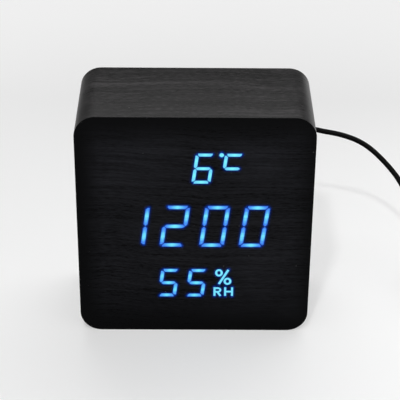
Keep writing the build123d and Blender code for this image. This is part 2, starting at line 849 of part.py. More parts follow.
with BuildPart() as plug_barrel:
    with BuildSketch(upright(plug_face)):
        with Locations((jack_x, jack_z)):
            Circle(barrel_diameter / 2)
            Circle(jack_pin_diameter / 2 + barrel_pin_gap, mode=Mode.SUBTRACT)
    extrude(amount=plug_face - jack_bore_end - barrel_end_gap)
save(plug_barrel, "plug_barrel")

plug_axis = Axis((jack_x, 0, jack_z), (0, 1, 0))
grip_start = plug_face + plug_nose_length
grip_end = grip_start + plug_grip_length
relief_start = grip_end + plug_shoulder
relief_end = relief_start + relief_length
groove_pitch = relief_length / (relief_groove_count + 1)
with BuildPart() as plug_grip:
    with BuildSketch(flat(jack_x, jack_z)):
        with BuildLine():
            Polyline(
                (0, plug_face), (plug_nose_diameter / 2, plug_face), (plug_nose_diameter / 2, grip_start),
                (plug_grip_diameter / 2, grip_start), (plug_grip_diameter / 2, grip_end),
                (relief_diameter / 2, relief_start), (relief_end_diameter / 2, relief_end), (0, relief_end),
                close=True)
        make_face()
    revolve(axis=plug_axis)
    for groove in range(relief_groove_count):
        groove_middle = relief_start + (groove + 1) * groove_pitch
        with BuildSketch(upright(groove_middle + groove_pitch / 4)):
            with Locations((jack_x, jack_z)):
                Circle(relief_diameter)
                Circle(relief_end_diameter / 2 - relief_groove_depth, mode=Mode.SUBTRACT)
        extrude(amount=groove_pitch / 2, mode=Mode.SUBTRACT)
save(plug_grip, "plug_grip")


# Cord
def turn_radii(route):
    """The radius at each corner of a route, as large as the two runs beside it allow."""
    radii = []
    for before, corner, after in zip(route, route[1:], route[2:]):
        come = Vector(*corner) - Vector(*before)
        leave = Vector(*after) - Vector(*corner)
        half_turn = radians(come.get_angle(leave)) / 2
        radii.append(turn_run_share * min(come.length, leave.length) / tan(half_turn))
    return radii


def cord_section(start, way):
    """The cord's section, drawn square to one end of a stretch."""
    with BuildSketch(Plane(origin=start, z_dir=way)) as section:
        RegularPolygon(cord_diameter / 2, cord_sides)
    return section.sketch


def free_stretch(route, name):
    """A tube along straight runs joined by tangent arcs."""
    radii = turn_radii(route)
    with BuildPart() as stretch:
        with BuildLine() as path:
            FilletPolyline(*route, radius=radii)
        section = cord_section(route[0], Vector(*route[1]) - Vector(*route[0]))
        sweep(sections=section, path=path.wires()[0])
    length = path.wires()[0].length
    print(name, "length", round(length, 1), "radii", [round(radius, 1) for radius in radii])
    print(name, "volume over section times length", round(stretch.part.volume / (section.area * length), 4))
    return stretch


layer_height = cord_diameter + coil_turn_gap
turn_pitch = cord_diameter + coil_turn_gap
coil_low = tie_thickness + tie_gap + cord_diameter / 2
coil_quarters = (coil_layers - 1) * quarters_per_layer + quarters_of_last_layer
coil_start_radius = coil_inner_radius + quarters_per_layer * turn_pitch / 4
coil_end_radius = coil_inner_radius + quarters_of_last_layer * turn_pitch / 4
coil_top = coil_low + (coil_layers - 1) * layer_height
coil_start = (coil_west_x, coil_y + cord_diameter, coil_top)
coil_x = coil_west_x + coil_start_radius


def coil_place(quarter):
    """Where the coil's centre line is, a number of quarter turns from its upper end."""
    layer = min(int(quarter // quarters_per_layer), coil_layers - 1)
    along = quarter - layer * quarters_per_layer
    steps_out = quarters_per_layer - along if layer % 2 == 0 else along
    radius = coil_inner_radius + steps_out * turn_pitch / 4
    nearest_change = round(quarter / quarters_per_layer)
    past_change = quarter - nearest_change * quarters_per_layer
    drop = layer
    if 0 < nearest_change < coil_layers and abs(past_change) < 1:
        drop = nearest_change - 1 + (1 + sin(past_change * pi / 2)) / 2
    angle = pi + quarter * pi / 2
    return Vector(coil_x + radius * cos(angle), coil_y + radius * sin(angle), coil_top - drop * layer_height)


def coil_way(quarter):
    """The direction of the coil's centre line at one place."""
    step = 1 / (4 * points_per_quarter)
    if quarter <= 0:
        return Vector(0, -1, 0)
    if quarter >= coil_quarters:
        return Vector(0, 1, 0)
    return (coil_place(quarter + step) - coil_place(quarter - step)).normalized()


def biarc(start, start_way, end, end_way):
    """Two arcs that leave one point and reach another in given directions."""
    chord = end - start
    ways = start_way + end_way
    spread = 2 * (1 - start_way.dot(end_way))
    along = chord.dot(ways)
    reach = (sqrt(along ** 2 + spread * chord.dot(chord)) - along) / spread
    joint = (start + end + (start_way - end_way) * reach) / 2
    first = TangentArc(start, joint, tangent=start_way)
    second = TangentArc(joint, end, tangent=first % 1)
    return first, second


with BuildPart() as cord_coil:
    with BuildLine() as coil_line:
        Line(coil_start, coil_place(0))
        for quarter in range(coil_quarters):
            biarc(coil_place(quarter), coil_way(quarter), coil_place(quarter + 1), coil_way(quarter + 1))
        coil_end = coil_place(coil_quarters) + Vector(0, cord_diameter, 0)
        Line(coil_place(coil_quarters), coil_end)
    coil_section = cord_section(coil_start, (0, -1, 0))
    sweep(sections=coil_section, path=coil_line.wires()[0])
save(cord_coil, "cord_coil")

coil_points = [coil_place(n / points_per_quarter) for n in range(coil_quarters * points_per_quarter + 1)]
next_turn = next_turn_quarters * points_per_quarter
least_distance = min(
    (coil_points[late] - coil_points[early]).length
    for early in range(len(coil_points))
    for late in range(early + next_turn, len(coil_points)))
coil_length = coil_line.wires()[0].length
coil_ratio = cord_coil.part.volume / (coil_section.area * coil_length)
print("cord_coil length", round(coil_length, 1), "least gap", round(least_distance - cord_diameter, 2))
print("cord_coil volume over section times length", round(coil_ratio, 4))

lead_route = [
    (jack_x, relief_end, jack_z),
    (jack_x, relief_end + lead_straight, jack_z),
    *cord_fall,
    (coil_west_x, coil_start[1] + lead_straight, coil_top),
    coil_start,
]
save(free_stretch(lead_route, "cord_lead"), "cord_lead")

usb_axis_z = usb_body_thickness / 2
tail_start = (coil_end.X, coil_end.Y, coil_end.Z)
tail_route = [
    tail_start,
    (coil_end.X, coil_end.Y + tail_run, coil_end.Z),
    (coil_end.X, coil_end.Y + 2 * tail_run, usb_axis_z),
    (coil_end.X, coil_end.Y + 3 * tail_run, usb_axis_z),
]
save(free_stretch(tail_route, "cord_tail"), "cord_tail")

tie_inside = coil_inner_radius - cord_diameter / 2 - 2 * tie_gap
tie_outside = coil_end_radius + cord_diameter / 2 + 2 * tie_gap
tie_span = tie_outside - tie_inside
with BuildPart() as coil_tie:
    tie_plane = Plane(origin=(coil_x - tie_width / 2, coil_y, 0), x_dir=(0, 1, 0), z_dir=(1, 0, 0))
    tie_high = coil_top + cord_diameter / 2 + tie_gap
    with BuildSketch(tie_plane):
        with Locations((-(tie_inside + tie_outside) / 2, (tie_thickness + tie_high) / 2)):
            RectangleRounded(tie_span + 2 * tie_thickness, tie_high + tie_thickness, tie_corner)
            RectangleRounded(
                tie_span, tie_high - tie_thickness, tie_corner - tie_thickness, mode=Mode.SUBTRACT)
    extrude(amount=tie_width)
save(coil_tie, "coil_tie")

# Plug at the far end
usb_x = coil_end.X
usb_relief_start = coil_end.Y + 3 * tail_run
usb_body_start = usb_relief_start + usb_relief_length
usb_body_end = usb_body_start + usb_body_length
usb_shell_end = usb_body_end + usb_shell_length
with BuildPart() as usb_grip:
    with BuildSketch(upright(usb_body_end)):
        with Locations((usb_x, usb_axis_z)):
            RectangleRounded(usb_body_width, usb_body_thickness, usb_body_corner)
    extrude(amount=usb_body_length)
    fillet(usb_grip.faces().sort_by(Axis.Y)[0].edges(), usb_edge_radius)
    with BuildSketch(flat(usb_x, usb_axis_z)):
        with BuildLine():
            Polyline(
                (0, usb_relief_start), (usb_relief_end_diameter / 2, usb_relief_start),
                (usb_relief_diameter / 2, usb_body_start), (0, usb_body_start), close=True)
        make_face()
    revolve(axis=Axis((usb_x, 0, usb_axis_z), (0, 1, 0)))
save(usb_grip, "usb_grip")

with BuildPart() as usb_shell:
    with BuildSketch(upright(usb_shell_end)):
        with Locations((usb_x, usb_axis_z)):
            RectangleRounded(usb_shell_width, usb_shell_thickness, usb_shell_corner)
            RectangleRounded(
                usb_shell_width - 2 * usb_shell_wall, usb_shell_thickness - 2 * usb_shell_wall,
                usb_shell_corner - usb_shell_wall, mode=Mode.SUBTRACT)
    extrude(amount=usb_shell_length)
    with BuildSketch(flat(usb_x, usb_axis_z)):
        with Locations((0, usb_shell_end - usb_shell_window_inset)):
            with GridLocations(usb_shell_window_spacing, 0, 2, 1):
                Rectangle(usb_shell_window, usb_shell_window)
    extrude(amount=usb_shell_thickness, mode=Mode.SUBTRACT)
save(usb_shell, "usb_shell")

usb_tongue_low = usb_axis_z - usb_shell_thickness / 2 + usb_shell_wall
usb_tongue_end = usb_shell_end - usb_tongue_sink
usb_tongue_width = usb_shell_width - 2 * (usb_shell_corner + running_gap)
with BuildPart() as usb_tongue:
    with BuildSketch(flat(usb_x, usb_tongue_low)):
        with Locations((0, (usb_body_end + usb_tongue_end) / 2)):
            Rectangle(usb_tongue_width, usb_tongue_end - usb_body_end)
    extrude(amount=usb_tongue_thickness)
save(usb_tongue, "usb_tongue")

with BuildPart() as usb_contacts:
    with BuildSketch(flat(usb_x, usb_tongue_low + usb_tongue_thickness)):
        with Locations((0, usb_tongue_end - usb_tongue_sink - usb_contact_length / 2)):
            with GridLocations(usb_contact_pitch, 0, usb_contact_count, 1):
                Rectangle(usb_contact_width, usb_contact_length)
    extrude(amount=usb_contact_thickness)
save(usb_contacts, "usb_contacts")
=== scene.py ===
from math import cos, exp, floor as floor_of, hypot, pi, radians, sin, tan

import bpy
from mathutils import Matrix, Vector


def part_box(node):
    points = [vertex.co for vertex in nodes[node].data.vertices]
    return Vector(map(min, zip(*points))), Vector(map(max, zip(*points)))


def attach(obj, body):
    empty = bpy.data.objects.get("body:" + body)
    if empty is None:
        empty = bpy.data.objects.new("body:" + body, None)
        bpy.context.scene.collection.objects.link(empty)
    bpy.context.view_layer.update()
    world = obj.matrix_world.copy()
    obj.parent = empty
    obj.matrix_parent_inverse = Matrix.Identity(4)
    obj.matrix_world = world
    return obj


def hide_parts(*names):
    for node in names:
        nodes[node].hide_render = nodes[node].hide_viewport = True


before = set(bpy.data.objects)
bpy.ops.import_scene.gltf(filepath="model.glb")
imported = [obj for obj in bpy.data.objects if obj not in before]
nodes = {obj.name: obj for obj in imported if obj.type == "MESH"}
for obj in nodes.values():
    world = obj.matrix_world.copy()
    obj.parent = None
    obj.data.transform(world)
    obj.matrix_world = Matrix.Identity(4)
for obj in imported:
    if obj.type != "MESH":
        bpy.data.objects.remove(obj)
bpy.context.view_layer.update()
mm = 0.001
front_low, front_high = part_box("front_film")
face_size = (front_high.x - front_low.x, front_high.z - front_low.z)


# Nodes and finishes
def grey(level):
    return (level, level, level, 1)


def linear(red, green, blue):
    """A colour that is written as it shows on a screen, from 0 to 255, as the shader takes it."""
    shares = [level / 255 for level in (red, green, blue)]
    return (*[s / 12.92 if s <= 0.04045 else ((s + 0.055) / 1.055) ** 2.4 for s in shares], 1)


class Value:
    """One output in a tree of nodes. Arithmetic on it adds Math nodes."""

    def __init__(self, owner, socket):
        self.owner = owner
        self.socket = socket

    def math(self, operation, *values):
        return self.owner.node("ShaderNodeMath", {"operation": operation}, dict(enumerate(values)))

    def __add__(self, other):
        return self.math("ADD", self, other)

    def __sub__(self, other):
        return self.math("SUBTRACT", self, other)

    def __rsub__(self, other):
        return self.math("SUBTRACT", other, self)

    def __mul__(self, other):
        return self.math("MULTIPLY", self, other)

    def __gt__(self, other):
        return self.math("GREATER_THAN", self, other)

    def __lt__(self, other):
        return self.math("LESS_THAN", self, other)

    def __abs__(self):
        return self.math("ABSOLUTE", self)

    __radd__ = __add__
    __rmul__ = __mul__

    def wave(self):
        return self.math("SINE", self)

    def between(self, low, high):
        """0 below one level, 1 above the other, and a smooth rise between them."""
        levels = {"Value": self, "From Min": low, "From Max": high}
        return self.owner.node("ShaderNodeMapRange", {"interpolation_type": "SMOOTHSTEP"}, levels)


class NodeTree:
    """The nodes behind one shader. Fixed values go straight to its sockets, and what varies is linked."""

    def __init__(self, tree, shader):
        self.tree = tree
        self.shader = tree.nodes[shader]

    def node(self, kind, settings, inputs, output=0):
        """A node of one type, with its settings made first and its sockets filled after them."""
        node = self.tree.nodes.new(kind)
        for key, value in settings.items():
            if key == "stops":
                ramp = node.color_ramp
                while len(ramp.elements) < len(value):
                    ramp.elements.new(1)
                for element, (position, colour) in zip(ramp.elements, value):
                    element.position = position
                    element.color = colour
            else:
                setattr(node, key, value)
        for key, value in inputs.items():
            self.fill(node.inputs[key], value)
        return Value(self, node.outputs[output])

    def fill(self, socket, value):
        if isinstance(value, Value):
            self.tree.links.new(value.socket, socket)
        else:
            socket.default_value = value

    def set(self, **sockets):
        for name, value in sockets.items():
            self.fill(self.shader.inputs[name.replace("_", " ").title().replace("Ior", "IOR")], value)

    def ray(self, kind):
        """1 for rays of one kind, and 0 for the others."""
        return self.node("ShaderNodeLightPath", {}, {}, f"Is {kind} Ray")


class Finish(NodeTree):
    """A material. Its patterns start from the place on the piece."""

    def __init__(self, name, **fixed):
        self.material = bpy.data.materials.new(name)
        self.material.use_nodes = True
        super().__init__(self.material.node_tree, "Principled BSDF")
        self.place = self.node("ShaderNodeTexCoord", {}, {}, "Object")
        self.set(**fixed)

    def vector(self, operation, first, second, output="Vector"):
        """Vector Math on two values."""
        return self.node("ShaderNodeVectorMath", {"operation": operation}, {0: first, 1: second}, output)

    def stretched(self, per_metre, place=None):
        """The place on the piece, with each axis counted in its own number of steps to the metre."""
        return self.vector("MULTIPLY", place or self.place, per_metre)

    def noise(self, per_metre, detail=2.0, place=None):
        """Soft cloudy noise from 0 to 1, with a number of clouds to the metre on each axis."""
        sockets = {"Vector": self.stretched(per_metre, place), "Scale": 1.0, "Detail": detail}
        return self.node("ShaderNodeTexNoise", {}, sockets)

    def axis(self, letter):
        """One coordinate of the place on the piece, in metres."""
        return self.node("ShaderNodeSeparateXYZ", {}, {0: self.place}, letter)

    def corner_shade(self, name):
        """A shade that a piece keeps at its corners."""
        return self.node("ShaderNodeAttribute", {"attribute_name": name}, {}, "Fac")

    def mix(self, share, first, second):
        """One colour going over into another."""
        sockets = {0: share, 6: first, 7: second}
        return self.node("ShaderNodeMix", {"data_type": "RGBA"}, sockets, 2)

    def ramp(self, value, stops):
        """A value as a place on a scale of colours."""
        return self.node("ShaderNodeValToRGB", {"stops": stops}, {0: value})

    def bump(self, height, depth, strength):
        """Raise and lower the surface by a height from 0 to 1 times a depth in metres."""
        sockets = {"Height": height, "Distance": depth, "Strength": strength}
        self.set(normal=self.node("ShaderNodeBump", {}, sockets))

    def on(self, *pieces):
        for piece in pieces:
            piece.data.materials.clear()
            piece.data.materials.append(self.material)


# Wood-grain film round the case
grain_sway, sway_stretch, sway_steps = 12 * mm, 0.5, 3
ring_stretch, streak_stretch, pore_stretch = 0.25, 1, 12
dark_level, middle_level, pale_level = 0.38, 0.5, 0.62
dust_clouds, dust_least, dust_full = (30, 30, 38), 0.48, 0.8
# The second cover is for the front's pale patches of dust and painted sheen.
dust_cover, sheen_and_dust_cover, dust_off_streaks = 0.4, 0.3, 0.3
# Painted shade on the front film: how far from its sides, foot and top the coat darkens, and how far right
# of the middle that darkening is centred.
painted_shade_off_centre, painted_shade_at_sides, painted_shade_at_foot, painted_shade_at_top = 1.5 * mm, 11 * mm, 26 * mm, 17 * mm
speck_cells, speck_radius, speck_least, speck_tone = (160, 160, 160), 0.036, 0.6, grey(0.07)
film_roughness, tone_roughness, dust_roughness = 0.18, 0.22, 0.1
streak_relief, pore_relief, grain_depth, grain_strength = 0.7, 0.3, 0.05 * mm, 0.3


def wood_film(name, gloss, along, across, lines, shares, print_tones, dust_and_sheen_tone, sheen_and_dust_patches=(), face=None):
    """Black film with a printed and pressed wood grain.

    Along counts the grain's steps to the metre on each axis, and across is the axis that it crosses.
    Lines counts rings, streaks and pores to the metre, and shares weighs them. The pale patches, each a
    place and a reach, are dust and painted sheen.
    With the size of a face, painted shade darkens the coat towards that face's edges, a little more on the
    left.
    """
    film = Finish(name, specular_ior_level=gloss)
    sweep = film.noise([step * sway_stretch + sway_steps for step in along], detail=1.0)
    sway = film.node("ShaderNodeVectorMath", {"operation": "SCALE"}, {0: [grain_sway] * 3, "Scale": sweep})
    bent = film.vector("ADD", film.place, sway)
    rings, streaks, pores = [
        film.noise([a * stretch + b * count for a, b in zip(along, across)], place=bent)
        for stretch, count in zip((ring_stretch, streak_stretch, pore_stretch), lines)]
    tone = rings * shares[0] + streaks * shares[1] + pores * shares[2]
    dark, middle, pale = print_tones
    coat = film.ramp(tone, [(dark_level, dark), (middle_level, middle), (pale_level, pale)])
    dust_and_sheen = film.noise(dust_clouds, detail=3.0).between(dust_least, dust_full) * dust_cover
    # Pale patches round given places, for dust and painted sheen.
    for place, reach in sheen_and_dust_patches:
        gap = film.vector("DISTANCE", film.place, place, "Value")
        dust_and_sheen = dust_and_sheen + (1 - gap.between(0, reach)) * sheen_and_dust_cover
    # The pale tone is dust, and on the front also painted sheen.
    coat = film.mix(dust_and_sheen * (dust_off_streaks + streaks), coat, dust_and_sheen_tone)
    # Painted shade: towards the face's edges the coat darkens to the darkest tone, a little more on the
    # left than on the right.
    if face:
        width, height = face
        inset = width / 2 - abs(film.axis("X") - painted_shade_off_centre)
        rise = film.axis("Z")
        inner = rise.between(0, painted_shade_at_foot) * (height - rise).between(0, painted_shade_at_top)
        coat = film.mix(inset.between(0, painted_shade_at_sides) * inner, dark, coat)
    cell = film.stretched(speck_cells)
    off_centre, chance = [
        film.node("ShaderNodeTexVoronoi", {}, {"Vector": cell, "Scale": 1.0}, output)
        for output in ("Distance", "Color")]
    picked = film.node("ShaderNodeSeparateColor", {}, {0: chance}, "Red") > speck_least
    coat = film.mix((speck_radius > off_centre) * picked, coat, speck_tone)
    film.set(base_color=coat)
    film.set(roughness=film_roughness + tone * tone_roughness + dust_and_sheen * dust_roughness)
    film.bump(streaks * streak_relief + pores * pore_relief, grain_depth, grain_strength)
    return film


# The front film's tones are tinted blue: partly the film's own tint, and partly painted light from the
# diodes that scatters in the film.
front_tones = [(0.0011, 0.0012, 0.0016, 1), (0.0075, 0.0078, 0.0097, 1), (0.0139, 0.0144, 0.0171, 1)]
front_dust_and_sheen = (0.025, 0.026, 0.0318, 1)
# Pale patches on the front, each a place and a reach: dust and painted sheen.
front_sheen_and_dust_patches = [
    ((x, front_low.y, z), reach)
    for x, z, reach in ((-0.02, 0.084, 0.026), (0.027, 0.083, 0.018), (0.026, 0.032, 0.02))]
wrap_tones = [(0.0004, 0.0004, 0.0004, 1), (0.0045, 0.0042, 0.0044, 1), (0.029, 0.027, 0.0285, 1)]
wrap_dust = (0.025, 0.024, 0.0245, 1)
film_front = wood_film(
    "front_wood_film", 0.045, (34, 34, 0), (0, 0, 1), (190, 1200, 2600), (0.2, 0.36, 0.44), front_tones,
    front_dust_and_sheen, front_sheen_and_dust_patches, face_size)
film_front.on(nodes["front_film"])
film_wrap = wood_film(
    "side_wood_film", 0.055, (34, 0, 34), (0, 1, 0), (110, 700, 2400), (0.3, 0.24, 0.46), wrap_tones,
    wrap_dust)
film_wrap.on(nodes["wrap_film"])
film_rear = wood_film(
    "rear_wood_film", 0.055, (34, 34, 0), (0, 0, 1), (110, 560, 1700), (0.4, 0.38, 0.22), wrap_tones,
    wrap_dust)
film_rear.on(nodes["rear_film"])


# Moulded plastic, board and plated metal
def moulding(name, colour, roughness, grain, depth=0.04 * mm):
    """Moulded plastic with a spark-eroded texture of so many grains to the metre."""
    clouds, cloud_least, cloud_full = 60, 0.3, 0.7
    shade_swing, grain_roughness, cloud_roughness, strength = 0.18, 0.16, 0.1, 0.5
    plastic = Finish(name)
    cloud = plastic.noise([clouds] * 3, detail=3.0)
    texture = plastic.noise([grain] * 3)
    dark = [level * (1 - shade_swing) for level in colour] + [1]
    pale = [level * (1 + shade_swing) for level in colour] + [1]
    plastic.set(base_color=plastic.mix(cloud.between(cloud_least, cloud_full), dark, pale))
    plastic.set(roughness=roughness + (texture - 0.5) * grain_roughness + (cloud - 0.5) * cloud_roughness)
    plastic.bump(texture, depth, strength)
    return plastic


def plating(name, colour, roughness, steps, dull=0.6):
    """Plated or drawn metal with fine draw lines and a few dull patches."""
    clouds, patch_least, patch_full = 180, 0.52, 0.75
    line_roughness, patch_roughness = 0.18, 0.08
    line_depth, strength = 0.01 * mm, 0.4
    metal = Finish(name, metallic=1.0)
    lines = metal.noise(steps)
    patches = metal.noise([clouds] * 3, detail=3.0)
    worn = [level * dull for level in colour] + [1]
    metal.set(base_color=metal.mix(patches.between(patch_least, patch_full), [*colour, 1], worn))
    metal.set(roughness=roughness + (lines - 0.5) * line_roughness + patches * patch_roughness)
    metal.bump(lines, line_depth, strength)
    return metal


panel_black = moulding("panel_black", (0.017, 0.017, 0.018), 0.52, 5200)
panel_black.on(nodes["rear_panel"], nodes["battery_door"])
button_black = moulding("button_black", (0.03, 0.03, 0.032), 0.4, 7000, 0.02 * mm)
for key in ("down", "set", "up"):
    button_black.on(nodes[f"{key}_button"], nodes[f"{key}_plunger"])
part_black = moulding("moulded_part_black", (0.02, 0.02, 0.021), 0.45, 6000, 0.02 * mm)
part_black.on(*[nodes[name] for name in ("control_chip", "sounder", "key_switches", "power_jack")])
reflector_white = moulding("reflector_white", (0.72, 0.72, 0.70), 0.4, 5000, 0.02 * mm)
reflector_white.on(nodes["light_frame"], nodes["diffuser"], nodes["segment_leds"])
connector_white = moulding("connector_white", (0.7, 0.69, 0.65), 0.42, 5000, 0.02 * mm)
connector_white.on(*[nodes[name] for name in ("humidity_sensor", "ribbon_sockets", "usb_tongue")])
jacket_black = moulding("cord_jacket_black", (0.0025, 0.0025, 0.0026), 0.45, 3800, 0.03 * mm)
jacket_black.set(specular_ior_level=0.05)
jacket_black.on(nodes["plug_grip"], nodes["usb_grip"])
mark_grey = moulding("mark_grey", (0.3, 0.3, 0.31), 0.6, 5200, 0.02 * mm)
fibreboard = moulding("fibreboard", (0.30, 0.21, 0.13), 0.8, 2400, 0.08 * mm)
fibreboard.on(nodes["case_body"])
board_green = moulding("board_green", (0.012, 0.075, 0.035), 0.3, 1600, 0.015 * mm)
board_green.on(nodes["main_board"], nodes["key_board"])

screw_steel = plating("blackened_steel", (0.16, 0.16, 0.17), 0.38, (900, 900, 900))
screw_steel.on(*[nodes[name] for name in ("board_screws", "panel_screws", "key_screws")])
contact_steel = plating("contact_nickel", (0.62, 0.61, 0.57), 0.3, (400, 2600, 2600))
contact_steel.on(nodes["leaf_contacts"], nodes["plate_contacts"], nodes["clock_crystal"])
plug_nickel = plating("plug_nickel", (0.5, 0.495, 0.48), 0.24, (3000, 260, 3000), 0.8)
plug_nickel.on(nodes["plug_barrel"], nodes["usb_shell"])
contact_gold = plating("contact_gold", (0.83, 0.62, 0.25), 0.28, (3000, 260, 3000))
contact_gold.on(nodes["jack_pin"], nodes["usb_contacts"])


# Ribbon cable and cells
def ribbon_grey():
    """Flat cable: grooves between its cores, and one red edge."""
    core_pitch, red_from, red_full = 1.27 * mm, 4.9 * mm, 5.0 * mm
    groove_depth, strength = 0.2 * mm, 0.6
    ribbon = Finish("ribbon_grey", roughness=0.45)
    across = ribbon.axis("X")
    groove = abs((across * (pi / core_pitch)).wave())
    edge = (0 - across).between(red_from, red_full)
    ribbon.set(base_color=ribbon.mix(edge, (0.33, 0.33, 0.35, 1), (0.4, 0.03, 0.03, 1)))
    ribbon.bump(groove, groove_depth, strength)
    return ribbon


def cell_jacket(name, node, nub_way):
    """A cell's printed jacket: dull blue, with a grey band at the nub's end and bare steel ends."""
    blue, band_grey, steel = (0.03, 0.055, 0.1, 1), (0.42, 0.43, 0.44, 1), (0.6, 0.59, 0.56, 1)
    band_from, band_full, flat_bare, nub_bare, blur = 0.72, 0.721, 0.4 * mm, 1.7 * mm, 0.1 * mm
    steel_metallic, band_metallic, smooth, scuffed = 0.9, 0.5, 0.26, 0.2
    low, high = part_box(node)
    length = high.x - low.x
    jacket = Finish(name)
    across = jacket.axis("X")
    from_flat = across - low.x if nub_way > 0 else high.x - across
    scuffs = jacket.noise([240, 900, 900], detail=3.0)
    band = from_flat.between(length * band_from, length * band_full)
    flat_end = 1 - from_flat.between(flat_bare, flat_bare + blur)
    bare = flat_end + from_flat.between(length - nub_bare, length - nub_bare + blur)
    jacket.set(base_color=jacket.mix(bare, jacket.mix(band, blue, band_grey), steel))
    jacket.set(metallic=bare * steel_metallic + band * band_metallic * (1 - bare))
    jacket.set(roughness=smooth + scuffs * scuffed)
    return jacket


ribbon_grey().on(nodes["ribbon_cable"])
cell_jacket("cell_jacket_right", "lower_cell", 1).on(nodes["lower_cell"])
cell_jacket("cell_jacket_left", "middle_cell", -1).on(nodes["middle_cell"])
cell_jacket("cell_jacket_top", "upper_cell", 1).on(nodes["upper_cell"])


# Readout: bars that shine through the front film
def plate(name, points, faces, finish, body, slot, **shades):
    """A piece from corners and faces, with named shades at its corners."""
    mesh = bpy.data.meshes.new(name)
    mesh.from_pydata(points, [], faces)
    for shade, levels in shades.items():
        mesh.attributes.new(shade, "FLOAT", "POINT").data.foreach_set("value", levels)
    piece = bpy.data.objects.new(name, mesh)
    bpy.context.scene.collection.objects.link(piece)
    finish.on(piece)
    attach(piece, body)
    return piece


# Sizes of the readout, in millimetres
film_face = front_low.y / mm
light_rise, glow_rise = 0.04, 0.02
edge_dimming, bright_until, dim_from = 0.4, 0.05, 1.15
bar_grain, bar_grain_share = (60, 300, 1500), 0.6
slant = tan(radians(7.4))
joint = 0.25
corner_cut_share = 0.54
blunt = 0.2
time_digit = dict(row=53.0, width=10.39, height=20.03, stroke=1.66)
temperature_digit = dict(row=80.67, width=7.79, height=14.02, stroke=1.34)
humidity_digit = dict(row=24.7, width=7.85, height=14.08, stroke=1.48)
figures = {"0": "abcdef", "1": "bc", "2": "abdeg", "5": "acdfg", "6": "acdefg", "C": "afg"}


def lit_film(name, tone):
    """Film that light comes through."""
    return Finish(
        name, base_color=grey(tone), roughness=0.5, specular_ior_level=0.1, emission_strength=1.0)


def shine(name, middle, end):
    """Light of a bar: one colour over the diode, going over into another at the bar's ends."""
    light = lit_film(name, 0.004)
    grain = light.noise(bar_grain) - 0.5
    away = light.corner_shade("away") + grain * bar_grain_share
    shade = away.between(bright_until, dim_from)
    light.set(emission_color=light.mix(shade, linear(*middle), linear(*end)))
    return light


def digit_bars(figure, x, row, width, height, stroke):
    """The lit bars of one figure. A bar is a row of pairs: points of its two edges, from end to end."""
    far, top, half = width / 2, height / 2, stroke / 2
    near, under = far - stroke, top - stroke
    corner_cut = corner_cut_share * stroke
    tip, neck = far - half - joint, near - joint
    end, high = far - joint - corner_cut, top - joint - corner_cut
    level = [((u, top), (u, v)) for u, v in (
        (-end, top - corner_cut), (-neck, under), (0, under), (neck, under), (end, top - corner_cut))]
    side = [((outer, v), (inner, v)) for outer, inner, v in (
        (far - half + blunt, far - half - blunt, joint), (far, near, half + joint), (far, near, top / 2),
        (far, near, under - joint), (far, far - corner_cut, high))]
    middle = [((u, v), (u, -v)) for u, v in (
        (-tip, blunt), (-neck, half), (0, half), (neck, half), (tip, blunt))]
    shapes = {
        "a": (level, 1, 1), "b": (side, 1, 1), "c": (side, 1, -1), "d": (level, 1, -1),
        "e": (side, -1, -1), "f": (side, -1, 1), "g": (middle, 1, 1)}
    lit = []
    for letter in figures[figure]:
        pairs, across, upward = shapes[letter]
        lit.append([
            [(x + u * across + v * upward * slant, row + v * upward) for u, v in pair] for pair in pairs])
    return lit


def figures_lit(text, places, digit):
    """The lit bars of a row of figures, each at its own place."""
    return [bar for figure, x in zip(text, places) for bar in digit_bars(figure, x, **digit)]


def line_pairs(path, width):
    """A stroke of one width along a line of points, as pairs."""
    pairs = []
    for place, (x, z) in enumerate(path):
        before, after = path[max(place - 1, 0)], path[min(place + 1, len(path) - 1)]
        run = hypot(after[0] - before[0], after[1] - before[1])
        u, v = (before[1] - after[1]) / run * width / 2, (after[0] - before[0]) / run * width / 2
        pairs.append([(x + u, z + v), (x - u, z - v)])
    return pairs


def ring_pairs(x, z, wide, tall, width, steps=20):
    """A closed ring of one width, as pairs."""
    turns = [2 * pi * step / steps for step in range(steps + 1)]
    return [
        [(x + (wide / 2 - inset) * cos(turn), z + (tall / 2 - inset) * sin(turn)) for inset in (0, width)]
        for turn in turns]


def dot_pairs(x, z, diameter, steps=7):
    """A round dot, as pairs across it."""
    turns = [pi * (step + 0.5) / steps for step in range(steps)]
    return [[(x + side * diameter / 2 * sin(turn), z + diameter / 2 * cos(turn)) for side in (-1, 1)]
            for turn in turns]


def bar_light(name, lit, finish):
    """Lit bars as one piece, three points wide, with the distance from the diode at each point."""
    points, faces, away = [], [], []
    for pairs in lit:
        middles = [((first[0] + second[0]) / 2, (first[1] + second[1]) / 2) for first, second in pairs]
        centre = Vector(middles[0]).lerp(Vector(middles[-1]), 0.5)
        reach = (Vector(middles[-1]) - Vector(middles[0])).length / 2
        start = len(points)
        for (first, second), middle in zip(pairs, middles):
            for side, (x, z) in zip((1, 0, 1), (first, middle, second)):
                points.append((x * mm, (film_face - light_rise) * mm, z * mm))
                away.append((Vector(middle) - centre).length / max(reach, 1) + side * edge_dimming)
        (ax, az), (bx, bz), (cx, cz) = pairs[0][0], pairs[0][1], pairs[1][0]
        clockwise = (bx - ax) * (cz - az) - (bz - az) * (cx - ax) < 0
        for corner in range(start, len(points) - 3):
            if (corner - start) % 3 < 2:
                face = (corner, corner + 1, corner + 4, corner + 3)
                faces.append(face[::-1] if clockwise else face)
    return plate(name, points, faces, finish, "clock", "diffuser_sheet", away=away)


